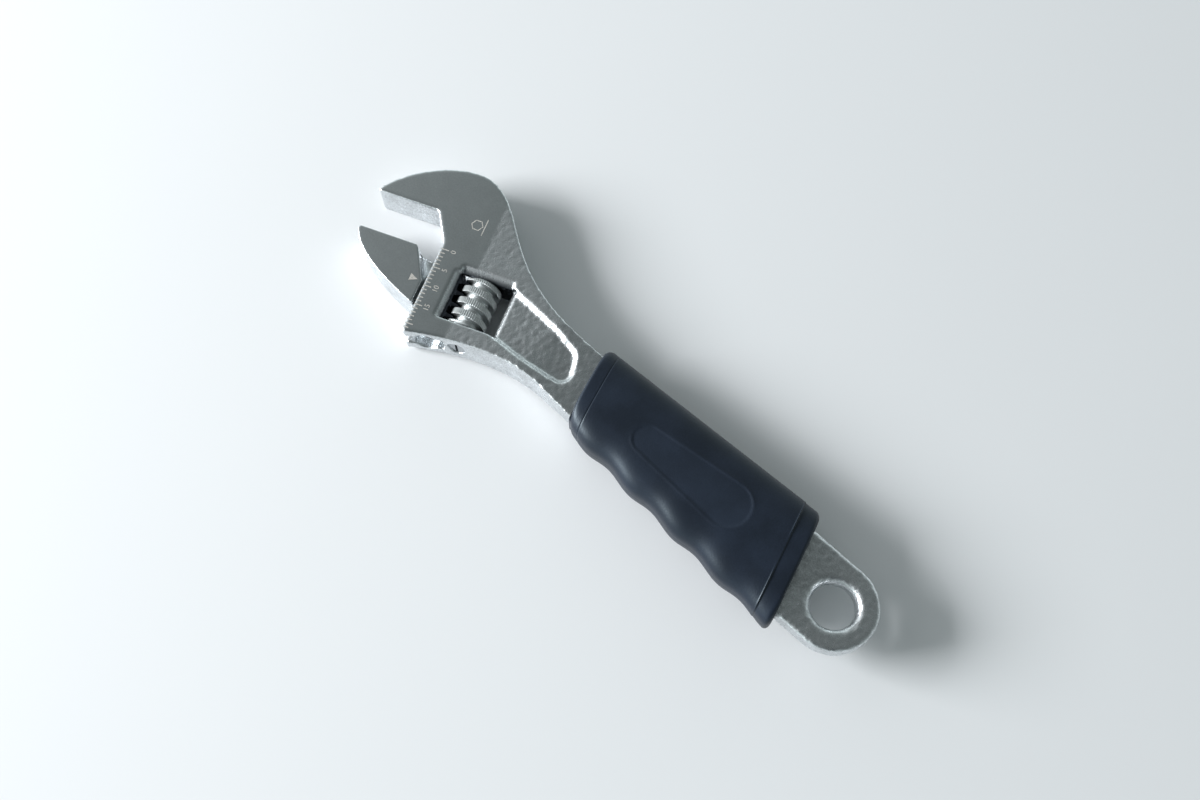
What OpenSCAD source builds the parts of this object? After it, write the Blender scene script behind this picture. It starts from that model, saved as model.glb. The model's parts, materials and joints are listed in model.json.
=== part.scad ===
// Adjustable wrench of the 150 mm class, with a rubber sleeve on its handle.
//
// The part's frame: the origin is the centre of the hanging hole at half thickness, X runs from
// the hole towards the jaws, Y towards the side that the moving jaw slides out of, and Z is up
// through the thickness. Millimetres and degrees.
//
// The jaws' frame: its origin is the corner where the fixed jaw's face would meet the guide
// edge, u runs out along the jaws' reach, and w along the direction that they open in.

/* [Head] */
// Thickness of the head and of both jaws
head_t = 8.5; // [8:0.1:9]
// Angle between the handle and the jaws' reach
jaw_angle = 22.5; // [21:0.5:24]
// Reach of the fixed jaw past the guide edge
jaw_reach = 19.8; // [18.5:0.1:21]
// Gap between the two jaw faces
opening = 10; // [0.2:0.1:20]
// Length of the guide edge, from the fixed jaw's face to the head's lower corner
guide_len = 31.4; // [31:0.1:32]

/* [Handle] */
// Thickness of the handle's bare end
tail_t = 4.8; // [4:0.1:5]
// Radius of the handle's round end
tail_r = 9.6; // [9:0.1:10]
// Radius of the hanging hole at its waist
hole_r = 4.8; // [4:0.1:5]
// Radius that the mouths of the hanging hole are rounded over with
hole_flare_r = 1.7; // [1:0.1:1.9]
// Depth of the panel sunk in each face of the neck
panel_depth = 1.0; // [0.5:0.1:1.3]

/* [Worm] */
// Radius over the worm's ridges
worm_r = 4.45; // [4.3:0.05:4.6]
// Radius of the worm between its ridges
worm_root_r = 3.0; // [2.9:0.05:3.1]
// Distance that the jaw moves in one turn of the worm
lead = 3.0; // [2.8:0.05:3.2]
// Length of the worm
worm_len = 12.1; // [11.5:0.1:12.2]
// Radius of the worm's pin
pin_r = 1.4; // [1.2:0.05:1.4]
// Radius of the pin's slotted head
pin_head_r = 2.0; // [1.8:0.05:2.1]

/* [Jaw rail] */
// Radius of the moving jaw's rail
rail_r = 2.95; // [2.8:0.05:2.95]
// Thickness of the web between the rail and the jaw
web_t = 3.0; // [2.6:0.1:3.2]
// Length of the rack's teeth through the thickness
rack_t = 4.0; // [3.4:0.1:4.2]

/* [Grip] */
// Thickness of the rubber sleeve
grip_t = 11.5; // [11:0.1:12]
// Depth of the finger hollows along the sleeve's lower side
finger_depth = 0.9; // [0:0.1:1.2]
// Distance from one finger hollow to the next
finger_pitch = 13.2; // [12:0.1:14.5]

/* [Hidden] */

chrome = [0.66, 0.69, 0.72];
steel = [0.45, 0.47, 0.50];
rubber = [0.15, 0.18, 0.25];

// Clearances
pin_play = 0.05;                // radial, worm on its pin
seat_play = 0.02;               // radial, pin in the body
rail_play = 0.10;               // radial, rail in its bore
slot_play = 0.10;               // each side, web and rack in their slots
mesh_play = 0.12;               // each side of a rack tooth
groove_play = 0.7;              // between the worm's ridges and the bottom of the rack's grooves
sleeve_play = 0.04;             // sleeve on the handle
eps = 0.01;                     // keeps a cut from ending in its own starting face
over = 2;                       // how far a cut runs out past a face

// Jaws and worm, in the jaws' frame
jaw_root = [121, -10];          // the jaws' origin, in the part's frame
throat_u = 4.5;                 // where the fixed jaw's face ends at the throat
throat_w = 7.5;                 // where the throat's slope meets the guide edge
rest_opening = 10;              // opening at which the worm stands unturned
window_u = [-19.55, -6.85];     // window for the worm, across the slide
window_w = [12.8, 25.1];        // window for the worm, along the slide
worm_u = -12.3;                 // axis of the worm and its pin
worm_w = (window_w[0] + window_w[1] - worm_len) / 2;
pin_w = [8.8, 26.3, 29.2];      // start of the pin, of its head, and the head's end
rail_u = -5.3;                  // axis of the rail
rail_w = [1.8, 17];             // ends of the rail, from the moving jaw's face
channel_top = 1.2;              // closed end of the rail's bore
ridge_w = 18.5;                 // middle of a ridge where it meets the rack, at the resting opening
jaw_edge_u = 0.5;               // inner edge of the moving jaw, clear of the guide edge
cove_high = [jaw_edge_u, 8.2];  // the cove's edge on the moving jaw's faces runs from here
cove_low = [5.3, -0.4];         // down to here
cove_turn = atan2(cove_low[1] - cove_high[1], cove_low[0] - cove_high[0]);

// Ridge of the worm, and the groove it runs in: widths at the crest and at the root
ridge_crest = lead * 0.48;
ridge_base = lead * 0.66;
spring_len = 4.0;
spring_r = 1.8;                 // from the axis to the middle of the wire
wire_r = 0.2;
spring_seat_r = 2.15;           // counterbore of the worm that the spring sits in

// Handle, in the part's frame
bare_x = 14;                    // the sides run parallel up to here, just inside the sleeve
tail_bevel = 0.6;               // bevel round the bare end
neck_x = 78;                    // where the neck starts to widen into the head
neck_y = [-7.65, 7.0];          // the neck's two sides there
taper_x = [64.7, 84];           // the thickness grows from the tail's to the head's between these
sleeve_x = [10.2, 69.7];        // ends of the sleeve on the handle's centre line
sleeve_slant = 0.285;           // how far the sleeve's ends run back for each millimetre of Y
sleeve_back = [-13.35, -10.4];  // straight side of the sleeve, at its two ends
sleeve_front = [13.0, 9.7];     // crests of the side with the finger hollows, at its two ends
first_crest_x = 21;             // first crest between two finger hollows

// ---------- helpers ----------

// A point of the jaws' frame, in the part's frame
function from_jaws(u, w) = [
    jaw_root[0] + u * cos(jaw_angle) - w * sin(jaw_angle),
    jaw_root[1] + u * sin(jaw_angle) + w * cos(jaw_angle)
];

function mix(a, b, t) = a + (b - a) * t;

// Cubic curve from a to d, pulled towards b and c: n points, the last one left out
function curve(a, b, c, d, n) = [
    for (i = [0 : n - 1]) let (t = i / n, s = 1 - t)
        s * s * s * a + 3 * s * s * t * b + 3 * s * t * t * c + t * t * t * d
];

function arc(centre, r, from, to, n) = [
    for (i = [0 : n]) let (a = mix(from, to, i / n)) centre + r * [cos(a), sin(a)]
];

// Arc of radius r in place of the corner at b, between the lines to a and to c
function rounded(a, b, c, r, n = 6) =
    let (
        p = (a - b) / norm(a - b),
        q = (c - b) / norm(c - b),
        half = acos(p * q) / 2,
        centre = b + (p + q) / norm(p + q) * r / sin(half),
        first = b + p * r / tan(half) - centre,
        last = b + q * r / tan(half) - centre,
        from = atan2(first[1], first[0]),
        turn = atan2(first[0] * last[1] - first[1] * last[0], first * last)
    )
    arc(centre, r, from, from + turn, n);

// Children drawn in the jaws' frame
module in_jaws() {
    translate([jaw_root[0], jaw_root[1], 0]) rotate([0, 0, jaw_angle]) children();
}

// Children drawn with their Z along the slide, from the point u, w
module along_slide(u, w) {
    in_jaws() translate([u, w, 0]) rotate([-90, 0, 0]) children();
}

// A plan shape, centred on the half thickness
module plate(t) {
    linear_extrude(t, center = true) children();
}

// A rectangle from one corner to the opposite one
module block(from, to) {
    translate(from) square(to - from);
}

// The children, and their mirror image below the half thickness
module both_faces() {
    children();
    mirror([0, 0, 1]) children();
}

// A solid skinned over rings with the same number of points each
module skin(rings) {
    n = len(rings[0]);
    end = (len(rings) - 1) * n;
    walls = [
        for (i = [0 : n : end - 1], k = [0 : n - 1]) let (a = i + k, b = i + (k + 1) % n)
            each [[a, b + n, b], [a, a + n, b + n]]
    ];
    caps = [[for (k = [0 : n - 1]) k], [for (k = [n - 1 : -1 : 0]) end + k]];
    polyhedron([for (ring = rings) each ring], concat(walls, caps));
}

// ---------- body: handle, neck, head and fixed jaw in one forging ----------

// Handle from the hanging hole to the neck, wider by gap on each side
module handle_plan(gap) {
    polygon([
        [0, -tail_r - gap], [bare_x, -tail_r - gap], [neck_x, neck_y[0] - gap],
        [neck_x, neck_y[1] + gap], [bare_x, tail_r + gap], [0, tail_r + gap]
    ]);
}

// Side view: thin tail, wedge-shaped neck, thick head
module side_profile(gap = 0) {
    x = [-over, taper_x[0], taper_x[1], jaw_root[0] + jaw_reach + over];
    z = [tail_t / 2 + gap, tail_t / 2 + gap, head_t / 2 + gap, head_t / 2 + gap];
    rotate([90, 0, 0]) linear_extrude(80, center = true) polygon(concat(
        [for (i = [0 : 3]) [x[i], -z[i]]],
        [for (i = [3 : -1 : 0]) [x[i], z[i]]]
    ));
}

module body_plan() {
    crown = from_jaws(-4.3, -11.75);
    tip = [jaw_reach, -0.65];
    low_corner = [-0.3, guide_len];
    low_pull = [-11.1, 29.1];
    back = curve([neck_x, neck_y[0]], [104.6, neck_y[0]], from_jaws(-15.3, -7.2), crown, 32);
    front = curve(crown, from_jaws(1.5, -14.15), from_jaws(13.9, -9.95), from_jaws(tip[0], tip[1]), 24);
    guide = concat(
        rounded(tip, [tip[0] - 0.2, 0], [throat_u, 0], 0.5),
        rounded(tip, [throat_u, 0], [0, throat_w], 1),
        rounded([throat_u, 0], [0, throat_w], [0, guide_len], 3),
        rounded([0, throat_w], low_corner, low_pull, 0.6)
    );
    low = curve(from_jaws(-1.2, guide_len - 0.2), from_jaws(low_pull[0], low_pull[1]),
                [88.8, neck_y[1]], [neck_x, neck_y[1]], 28);
    polygon(concat(
        back, front, [for (p = guide) from_jaws(p[0], p[1])], low,
        [[neck_x, neck_y[1]], [bare_x, tail_r], [bare_x, -tail_r]]
    ));
}

// Round end of the handle and the straight stretch next to it, bevelled
module bare_end() {
    half_t = tail_t / 2;
    edge = [
        [tail_r - tail_bevel, -half_t], [tail_r, tail_bevel - half_t],
        [tail_r, half_t - tail_bevel], [tail_r - tail_bevel, half_t]
    ];
    intersection() {
        rotate_extrude($fn = 96) polygon(concat([[0, -half_t]], edge, [[0, half_t]]));
        translate([-2 * tail_r, -2 * tail_r, -tail_t]) cube([2 * tail_r, 4 * tail_r, 2 * tail_t]);
    }
    rotate([90, 0, 90]) linear_extrude(bare_x)
        polygon(concat(edge, [for (i = [3 : -1 : 0]) [-edge[i][0], edge[i][1]]]));
}

// Hole with a short straight waist and rounded mouths
module hanging_hole() {
    mouth_r = hole_r + hole_flare_r;
    flare_z = tail_t / 2 - hole_flare_r;
    rotate_extrude($fn = 96) polygon(concat(
        [[0, -tail_t], [mouth_r, -tail_t]],
        arc([mouth_r, -flare_z], hole_flare_r, 270, 180, 10),
        arc([mouth_r, flare_z], hole_flare_r, 180, 90, 10),
        [[mouth_r, tail_t], [0, tail_t]]
    ));
}

// Sunk panel of the neck: a tub with sloping walls, over a floor that follows the face
module neck_panel() {
    floor_z = head_t / 2 - panel_depth;
    sink = 1.2;
    rise = 4;
    spread = 1.2;
    // Rounded corners of the tub: centre and radius on its floor
    corners = [[76.3, 1.2, 2.9], [78.3, -1.4, 3.0], [94.2, 3.7, 1.5], [99.2, -3.5, 1.5]];
    intersection() {
        hull() for (c = corners)
            translate([c[0], c[1], floor_z - sink])
                cylinder(h = rise, r1 = c[2] - sink * spread, r2 = c[2] + (rise - sink) * spread, $fn = 32);
        rotate([90, 0, 0]) linear_extrude(40, center = true) polygon([
            [taper_x[0], tail_t / 2 - panel_depth], [taper_x[1], floor_z],
            [110, floor_z], [110, head_t], [taper_x[0], head_t]
        ]);
    }
}

// Window that the worm turns in, with a slope on three sides of its mouths
module worm_window() {
    mouth = head_t / 2;
    width = window_u[1] - window_u[0];
    height = window_w[1] - window_w[0];
    in_jaws() {
        plate(head_t + over) block([window_u[0], window_w[0]], [window_u[1], window_w[1]]);
        both_faces() {
            translate([0, window_w[1], 0]) rotate([90, 0, 0]) linear_extrude(height) polygon([
                [window_u[1] - eps, mouth - 1.1], [window_u[1] + 1.4, mouth],
                [window_u[1] + 1.4, mouth + over],
                [window_u[0] - 1, mouth + over], [window_u[0] - 1, mouth - panel_depth],
                [window_u[0] + eps, mouth - panel_depth - 1]
            ]);
            translate([window_u[0], 0, 0]) rotate([90, 0, 90]) linear_extrude(width) polygon([
                [window_w[0] + eps, mouth - 1.3], [window_w[0] + eps, mouth + over],
                [window_w[0] - 1.9, mouth + over], [window_w[0] - 1.9, mouth]
            ]);
        }
    }
}

// Round bore for the rail, with slots for the web and the rack, open at the head's lower side
module rail_channel() {
    end = guide_len + over;
    rack_u = worm_u + worm_root_r - slot_play;
    along_slide(rail_u, channel_top) cylinder(h = end - channel_top, r = rail_r + rail_play, $fn = 64);
    in_jaws() {
        plate(web_t + 2 * slot_play) block([rail_u, channel_top], [throat_u + over, end]);
        plate(rack_t + 2 * slot_play) block([rack_u, channel_top], [rail_u, end]);
    }
}

// Flare of the web's slot at the throat: room for the moving jaw's coves when it is shut
module throat_flare() {
    slot_z = web_t / 2 + slot_play;
    edge_z = 4.1;
    reach = 2.2;
    both_faces() in_jaws() intersection() {
        translate([cove_high[0], cove_high[1], 0]) rotate([90, 0, 90 + cove_turn])
            linear_extrude(14) polygon([[1, web_t / 2], [1, edge_z], [-reach, slot_z], [-reach, web_t / 2]]);
        plate(head_t) block([rail_u, 0], [throat_u + over, cove_high[1]]);
    }
}

// Hole for the worm's pin, blind above the window, with a wider seat for the slotted head
module pin_seat() {
    along_slide(worm_u, pin_w[0] - pin_play)
        cylinder(h = pin_w[2] - pin_w[0], r = pin_r + seat_play, $fn = 48);
    along_slide(worm_u, pin_w[1] - seat_play)
        cylinder(h = pin_w[2] - pin_w[1] + over, r = pin_head_r + seat_play, $fn = 48);
}

module body() {
    color(chrome) difference() {
        union() {
            intersection() {
                plate(head_t) body_plan();
                side_profile();
            }
            bare_end();
        }
        hanging_hole();
        both_faces() neck_panel();
        worm_window();
        rail_channel();
        throat_flare();
        pin_seat();
    }
}

// ---------- moving jaw: jaw, web and toothed rail in one forging ----------

module jaw_plan() {
    foot = [jaw_edge_u, 14.2];
    reach = jaw_reach + 0.4;
    polygon(concat(
        rounded([6, 0], [reach, 0], [reach - 1.2, 3], 0.6),
        curve([reach - 0.55, 1.3], [17.3, 6.6], [8.3, 10.95], [1.7, 13.65], 24),
        rounded([3, 13.2], foot, [jaw_edge_u, 5], 0.4),
        [[jaw_edge_u, rail_w[0]], [3.2, rail_w[0]]],
        rounded([3.2, rail_w[0]], [5.4, 0], [reach, 0], 0.6)
    ));
}

// Cove that thins the jaw to its web beside the throat, on both faces
module relief_cove() {
    depth = (head_t - web_t) / 2;
    both_faces() translate([cove_high[0], cove_high[1], head_t / 2]) rotate([0, 0, cove_turn])
        translate([-over, -depth, 0]) {
            rotate([0, 90, 0]) cylinder(h = 16, r = depth, $fn = 64);
            translate([0, -8, -depth]) cube([16, 8, 2 * depth]);
        }
}

// Grooves of the rack, at the slope of the worm's ridges
module rack_grooves() {
    slope = atan(lead / (PI * (worm_r + worm_root_r)));
    first_w = ridge_w - rest_opening;
    bottom_u = worm_u + worm_r + groove_play;
    mouth_u = worm_u + worm_root_r - over;
    flare = (ridge_base - ridge_crest) / (worm_r - worm_root_r) * (bottom_u - mouth_u) / 2;
    half = ridge_crest / 2 + mesh_play;
    for (k = [-5 : 4]) translate([0, first_w + k * lead, 0]) rotate([-slope, 0, 0])
        plate(3 * rack_t) polygon([
            [bottom_u, -half], [bottom_u, half], [mouth_u, half + flare], [mouth_u, -half - flare]
        ]);
}

module movable_jaw() {
    rack_u = worm_u + worm_root_r + mesh_play;
    color(chrome) translate(from_jaws(0, opening) - jaw_root) {
        difference() {
            in_jaws() plate(head_t) jaw_plan();
            in_jaws() relief_cove();
        }
        in_jaws() plate(web_t) polygon([
            [rail_u, rail_w[0]], [jaw_edge_u + 1, rail_w[0]], [jaw_edge_u + 1, 13],
            [-0.2, 14.6], [-1.8, rail_w[1]], [rail_u, rail_w[1]]
        ]);
        difference() {
            union() {
                along_slide(rail_u, rail_w[0]) cylinder(h = rail_w[1] - rail_w[0], r = rail_r, $fn = 64);
                in_jaws() plate(rack_t) block([rack_u, rail_w[0]], [rail_u, rail_w[1]]);
            }
            in_jaws() rack_grooves();
        }
    }
}

// ---------- worm, its pin and its spring ----------

// Left-handed ridge along Z, with its middle at the height z where it faces the jaws
module worm_ridge(z) {
    inner_r = worm_root_r - 0.3;
    outer_r = worm_r + 0.3;
    widen = (ridge_base - ridge_crest) / (worm_r - worm_root_r) / 2;
    function half(r) = ridge_crest / 2 + (worm_r - r) * widen;
    steps = 36;
    turns = ceil(worm_len / lead) + 2;
    skin([
        for (i = [0 : turns * steps]) let (a = 360 * i / steps, rise = z - lead * i / steps)
            [for (p = [[inner_r, -1], [inner_r, 1], [outer_r, 1], [outer_r, -1]])
                [p[0] * cos(a), p[0] * sin(a), rise + p[1] * half(p[0])]]
    ]);
}

module worm() {
    edge = 0.5;
    turned = 360 * (opening - rest_opening) / lead;
    highest_w = ridge_w + lead * ceil((worm_w + worm_len - ridge_w) / lead + 0.5);
    color(chrome) along_slide(worm_u, worm_w) rotate([0, 0, turned]) difference() {
        intersection() {
            union() {
                cylinder(h = worm_len, r = worm_root_r, $fn = 64);
                worm_ridge(highest_w - worm_w);
            }
            rotate_extrude($fn = 72) polygon([
                [0, 0], [worm_r - edge, 0], [worm_r, edge], [worm_r, worm_len - edge],
                [worm_r - edge, worm_len], [0, worm_len]
            ]);
        }
        translate([0, 0, -over]) cylinder(h = worm_len + 2 * over, r = pin_r + pin_play, $fn = 48);
        translate([0, 0, -over]) cylinder(h = spring_len + over, r = spring_seat_r, $fn = 48);
    }
}

// Plain pin with a slotted head, screwed in from the head's lower side
module worm_pin() {
    slot_w = 0.6;
    slot_depth = 0.9;
    color(steel) along_slide(worm_u, 0) difference() {
        union() {
            translate([0, 0, pin_w[0]]) cylinder(h = pin_w[1] - pin_w[0] + 1, r = pin_r, $fn = 48);
            translate([0, 0, pin_w[1]]) cylinder(h = pin_w[2] - pin_w[1], r = pin_head_r, $fn = 48);
        }
        translate([-slot_w / 2, -pin_head_r - over, pin_w[2] - slot_depth])
            cube([slot_w, 2 * (pin_head_r + over), slot_depth + over]);
    }
}

// Coil spring round the pin, inside the worm's upper end, which takes up the worm's end play
module worm_spring() {
    turns = 5;
    steps = 20;
    rise = spring_len - 4 * wire_r / 2 - 0.1;
    color(steel) along_slide(worm_u, window_w[0] + 0.05 + wire_r) skin([
        for (i = [0 : turns * steps]) let (a = 360 * i / steps, z = rise * i / turns / steps)
            [for (k = [0 : 7]) let (b = -45 * k, r = spring_r + wire_r * cos(b))
                [r * cos(a), r * sin(a), z + wire_r * sin(b)]]
    ]);
}

// ---------- grip ----------

// Ring of the sleeve where its middle line is at x, drawn in by inset
function sleeve_ring(x, inset) =
    let (
        t = (x - sleeve_x[0]) / (sleeve_x[1] - sleeve_x[0]),
        back = mix(sleeve_back[0], sleeve_back[1], t),
        crest = mix(sleeve_front[0], sleeve_front[1], t),
        crest_x = x - sleeve_slant * crest,
        wave = (1 - cos(360 * (crest_x - first_crest_x) / finger_pitch)) / 2,
        front = crest - finger_depth * wave,
        half_w = (front - back) / 2 - inset,
        half_t = grip_t / 2 - inset
    )
    [
        for (k = [0 : 27]) let (
            a = 360 * k / 28,
            y = (front + back) / 2 + half_w * sign(cos(a)) * pow(abs(cos(a)), 0.62),
            z = half_t * sign(sin(a)) * pow(abs(sin(a)), 0.62)
        )
        [x - sleeve_slant * y, y, z]
    ];

module grip() {
    lip = 0.7;
    rings = 40;
    inner = [sleeve_x[0] + lip, sleeve_x[1] - lip];
    color(rubber) difference() {
        skin(concat(
            [sleeve_ring(sleeve_x[0], lip)],
            [for (i = [0 : rings]) sleeve_ring(mix(inner[0], inner[1], i / rings), 0)],
            [sleeve_ring(sleeve_x[1], lip)]
        ));
        intersection() {
            plate(grip_t) handle_plan(sleeve_play);
            side_profile(sleeve_play);
        }
    }
}

body();
movable_jaw();
worm();
worm_pin();
worm_spring();
grip();
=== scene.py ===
"""Looks of a 150 mm adjustable wrench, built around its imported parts.

Everything is in metres, in the part's frame: the origin is the centre of the hanging hole, X runs
from it towards the jaws, Y towards the side that the moving jaw slides out of, and Z up through the
thickness. In the jaws' frame, u runs out along the jaws' reach and w along the way that they open.
"""

import json
import math

import bmesh
import bpy
import numpy as np
from bpy.props import FloatProperty, FloatVectorProperty, IntProperty, PointerProperty
from mathutils import Matrix, Vector, noise


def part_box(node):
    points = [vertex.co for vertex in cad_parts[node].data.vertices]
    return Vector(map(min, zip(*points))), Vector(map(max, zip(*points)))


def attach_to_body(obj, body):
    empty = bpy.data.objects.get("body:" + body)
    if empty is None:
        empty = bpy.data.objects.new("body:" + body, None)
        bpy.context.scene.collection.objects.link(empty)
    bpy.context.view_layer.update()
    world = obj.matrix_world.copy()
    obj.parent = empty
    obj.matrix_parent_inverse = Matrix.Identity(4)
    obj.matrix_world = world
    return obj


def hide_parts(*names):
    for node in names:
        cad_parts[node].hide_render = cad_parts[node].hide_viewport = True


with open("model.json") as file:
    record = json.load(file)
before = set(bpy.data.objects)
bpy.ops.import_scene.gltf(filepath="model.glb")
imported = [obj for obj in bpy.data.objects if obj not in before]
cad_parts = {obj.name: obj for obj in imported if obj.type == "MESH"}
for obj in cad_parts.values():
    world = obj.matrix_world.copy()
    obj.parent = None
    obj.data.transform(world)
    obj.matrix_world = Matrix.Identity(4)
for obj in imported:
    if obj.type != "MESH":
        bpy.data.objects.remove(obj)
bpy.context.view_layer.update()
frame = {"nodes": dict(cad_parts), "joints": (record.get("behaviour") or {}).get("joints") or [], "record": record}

bl_info = {
    "name": "Adjustable Wrench",
    "version": (1, 0, 0),
    "blender": (4, 5, 0),
    "location": "View3D > Sidebar > Wrench",
    "description": "Chrome, rubber, scale and stage for a 150 mm adjustable wrench",
    "category": "Object",
}

MM = 0.001
MOUNTS = {mount["name"]: mount for mount in frame["record"]["mounts"]}
JOINTS = {joint["name"]: joint for joint in frame["joints"]}

# The jaws' frame, from the slide's axis and from the fixed jaw's face
ALONG = Vector(JOINTS["jaw_slide"]["axis"])
OUT = Vector((ALONG.y, -ALONG.x, 0))
FACE_CENTRE_U = 12 * MM
JAW_ROOT = Vector(MOUNTS["fixed_jaw_face"]["pos_m"]) - FACE_CENTRE_U * OUT
JAWS = Matrix.Translation(JAW_ROOT) @ Matrix((OUT, ALONG, Vector((0, 0, 1)))).transposed().to_4x4()
FACE_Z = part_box("body")[1].z


# ---------- sizes and colours ----------

def length(name, text, value):
    return FloatProperty(name=name, description=text, default=value * MM, unit="LENGTH", subtype="DISTANCE")


def color(name, text, value):
    return FloatVectorProperty(name=name, description=text, default=value, subtype="COLOR", min=0, max=1)


class HeadSettings(bpy.types.PropertyGroup):
    body_voxel: length("Body grain", "Size of the even mesh that the body is made of", 0.306)
    jaw_voxel: length("Jaw grain", "Size of the even mesh that the moving jaw is made of", 0.18)
    jaw_play: length("Jaw play", "How much thinner the moving jaw is made all round, to run free", 0.04)
    ground_u: length("Ground area", "Where the ground flat starts, from the guide edge", -10.2)
    forged_relief: length("Forged relief", "Height of the lumps on the forged surface", 0.085)
    forged_lump: length("Forged lump", "Size of a lump on the forged surface", 1.1)
    chrome: color("Chrome", "Colour of the chrome plate", (0.80, 0.83, 0.85))
    # Dark colour of painted shade, partly old oil, inside the head
    oil: color("Oil", "Colour of the oiled steel inside the head", (0.05, 0.055, 0.065))
    ground: color("Ground chrome", "Colour of the ground flats under the plate", (0.70, 0.735, 0.745))


class ScaleSettings(bpy.types.PropertyGroup):
    marks: IntProperty(name="Marks", description="Number of marks on the guide edge", default=22, min=2)
    first_w: length("First mark", "Distance of the zero mark from the fixed jaw's face", 9.1)
    pitch: length("Pitch", "Distance from one mark to the next", 1.0)
    short_mark: length("Short mark", "Length of a millimetre's mark", 1.25)
    long_mark: length("Long mark", "Length of every fifth mark", 1.9)
    line: length("Line", "Width of a mark", 0.24)
    edge_gap: length("Edge gap", "Distance of the marks from the guide edge", 0.3)
    digit: length("Digit", "Height of the digits", 1.75)
    digit_u: length("Digit place", "Distance of the digits' middle from the guide edge", -3.35)
    etched: color("Etched marks", "Colour of the etched marks", (0.62, 0.60, 0.56))


class WormSettings(bpy.types.PropertyGroup):
    radius: length("Radius", "Radius over the worm's ridges", 4.45)
    root: length("Root", "Radius between the ridges", 3.0)
    bore: length("Bore", "Radius of the bore for the pin", 1.45)
    length: length("Length", "Length of the worm", 12.1)
    lead: length("Lead", "Distance from one ridge to the next", 3.0)
    ridge_w: length("Ridge", "Middle of a ridge where it faces the jaws", 18.5)
    crest: length("Crest", "Width of a ridge at its crest", 1.44)
    base: length("Base", "Width of a ridge at its root", 1.98)
    end_bevel: length("End bevel", "Bevel round the worm's two ends", 0.5)
    serration: length("Serration", "Depth of the serrations across the crests", 0.17)
    serrations: IntProperty(name="Serrations", description="Serrations in one turn", default=54, min=8)


class GripSettings(bpy.types.PropertyGroup):
    rear: length("Rear end", "Rear end of the sleeve on the handle's centre line", 10.2)
    front: length("Front end", "Front end of the sleeve on the handle's centre line", 69.7)
    thickness: length("Thickness", "Thickness of the sleeve", 11.5)
    back_rear: length("Back, rear", "Straight side at the rear end", -13.35)
    back_front: length("Back, front", "Straight side at the front end", -10.4)
    crest_rear: length("Crest, rear", "Crests between the finger hollows, rear end", 13.0)
    crest_front: length("Crest, front", "Crests between the finger hollows, front end", 9.7)
    finger_depth: length("Finger depth", "Depth of the finger hollows", 0.9)
    finger_pitch: length("Finger pitch", "Distance from one hollow to the next", 13.2)
    first_crest: length("First crest", "Place of the first crest along the handle", 21.0)
    rounding: length("Rounding", "Rounding of the sleeve's two ends", 0.7)
    corner: length("Corner", "Radius of the sleeve's corners, seen from above", 1.9)
    seam_rear: length("Rear seam", "Distance of the rear seam from its end", 4.35)
    seam_front: length("Front seam", "Distance of the front seam from its end", 3.3)
    rubber: color("Rubber", "Colour of the rubber", (0.0065, 0.0100, 0.0185))


class StageSettings(bpy.types.PropertyGroup):
    camera_place: FloatVectorProperty(
        name="Camera", description="Place of the camera", default=(-0.00289, 0.07244, 0.2444), subtype="XYZ")
    camera_target: FloatVectorProperty(
        name="Target", description="Point that the camera looks at", default=(0.0651, 0.00066, 0.0045),
        subtype="XYZ")
    window_azimuth: FloatProperty(
        name="Window azimuth", description="Direction that the window light comes from",
        default=math.radians(40), subtype="ANGLE")
    window_elevation: FloatProperty(
        name="Window elevation", description="Height of the window light",
        default=math.radians(21.5), subtype="ANGLE")
    window_power: FloatProperty(name="Window power", description="Power of the window light", default=31.5)
    room: color("Room", "Light of the room overhead", (0.116, 0.132, 0.132))
    horizon: FloatProperty(
        name="Horizon", description="How much brighter the room is lower down", default=12.5)
    glow: color("Glow", "Colour of the bright wall round the window", (0.95, 0.975, 1.0))
    glow_strength: FloatProperty(name="Glow strength", description="Brightness of that wall", default=1.3)
    floor: color("Floor", "Colour of the floor", (0.80, 0.815, 0.83))


# ---------- helpers ----------

def smoothstep(low, high, value):
    share = np.clip((value - low) / (high - low), 0, 1)
    return share * share * (3 - 2 * share)


def mix(a, b, share):
    return a + (b - a) * share


def new_piece(name, mesh):
    piece = bpy.data.objects.new(name, mesh)
    bpy.context.scene.collection.objects.link(piece)
    return piece


def settled(piece):
    """The piece with its modifiers turned into plain mesh."""
    graph = bpy.context.evaluated_depsgraph_get()
    mesh = bpy.data.meshes.new_from_object(piece.evaluated_get(graph), depsgraph=graph)
    mesh.name = piece.name
    piece.modifiers.clear()
    if piece.type == "MESH":
        piece.data = mesh
        return piece
    name = piece.name
    bpy.data.objects.remove(piece)
    return new_piece(name, mesh)


def positions(mesh):
    places = np.empty(len(mesh.vertices) * 3, np.float32)
    mesh.vertices.foreach_get("co", places)
    return places.reshape(-1, 3).astype(float)


def normals(mesh):
    directions = np.empty(len(mesh.vertices) * 3, np.float32)
    mesh.vertices.foreach_get("normal", directions)
    return directions.reshape(-1, 3).astype(float)


def set_positions(mesh, places):
    mesh.vertices.foreach_set("co", places.astype(np.float32).ravel())
    mesh.update()


def set_attribute(mesh, name, values):
    attribute = mesh.attributes.new(name, "FLOAT", "POINT")
    attribute.data.foreach_set("value", np.asarray(values, np.float32))


def jaw_coordinates(places):
    """Places in the jaws' frame: u, w and z."""
    turned = np.array(JAWS.inverted())
    return places @ turned[:3, :3].T + turned[:3, 3]


def attach(piece, body, slot, *nodes):
    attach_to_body(piece, body)
    if nodes:
        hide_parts(*nodes)


def give(piece, material):
    piece.data.materials.clear()
    piece.data.materials.append(material)


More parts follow.
